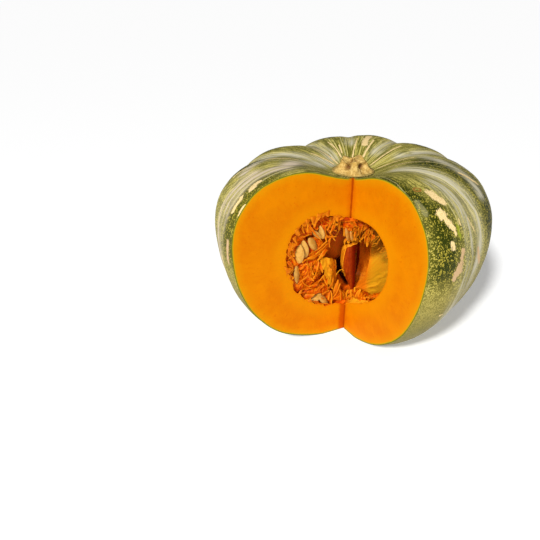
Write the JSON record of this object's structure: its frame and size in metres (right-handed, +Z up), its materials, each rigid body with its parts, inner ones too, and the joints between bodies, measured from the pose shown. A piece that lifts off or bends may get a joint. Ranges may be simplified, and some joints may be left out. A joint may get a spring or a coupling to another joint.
{
  "type": "cut ribbed winter squash",
  "caption": "Ribbed winter squash standing on its blossom end with a quarter cut out, showing thick flesh, a seed hollow with pulp and seeds, and a short corky stem.",
  "frame": {"origin": "on the surface it stands on, in the middle of its flat resting spot, on the axis that runs from blossom end to stem", "axes": "+Z up towards the stem, -Y to the front where the quarter is cut out, +X to the right"},
  "size_m": [0.2247, 0.2139, 0.152],
  "materials": {
    "rind_and_flesh": "moist bright orange flesh inside a thin mottled green rind",
    "stem": "dry corky tan stem with brown pits",
    "pulp": "wet orange-red fibres holding cream seeds",
    "seed": "smooth cream seed coat, moist"
  },
  "bodies": {
    "root": {"fruit": "rind_and_flesh", "stem": "stem", "pulp_left": "pulp", "pulp_roof": "pulp", "pulp_curtain": "pulp", "pulp_floor": "pulp"}
  },
  "joints": []
}
